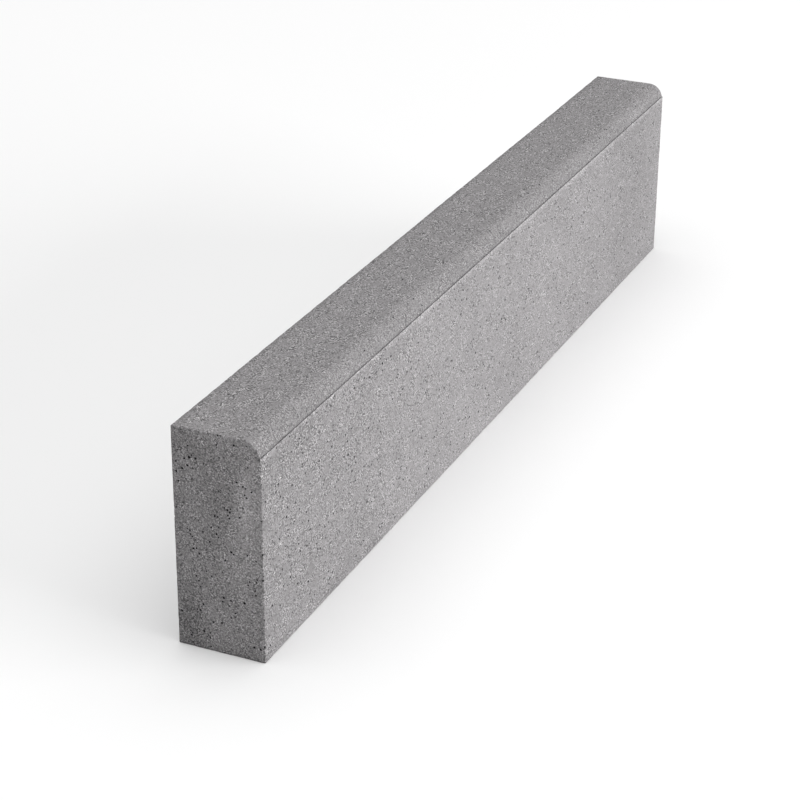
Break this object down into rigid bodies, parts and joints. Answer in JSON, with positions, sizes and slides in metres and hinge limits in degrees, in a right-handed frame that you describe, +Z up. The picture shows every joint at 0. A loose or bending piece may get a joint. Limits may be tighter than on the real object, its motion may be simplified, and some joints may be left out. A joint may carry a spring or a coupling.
{
  "type": "concrete kerb stone",
  "caption": "Straight pressed-concrete kerb stone, its long front top edge rounded down to a narrow ledge, for edging footpaths, beds and lawns.",
  "frame": {"origin": "middle of the bed, the face it stands on", "axes": "+Z up; +Y along the length; +X out of the exposed face, under the rounded top edge"},
  "size_m": [0.08, 1, 0.2],
  "materials": {
    "concrete": "matt grey pressed concrete, fine sandy grain with small pinholes"
  },
  "bodies": {
    "root": {"kerb_stone": "concrete"}
  },
  "joints": []
}
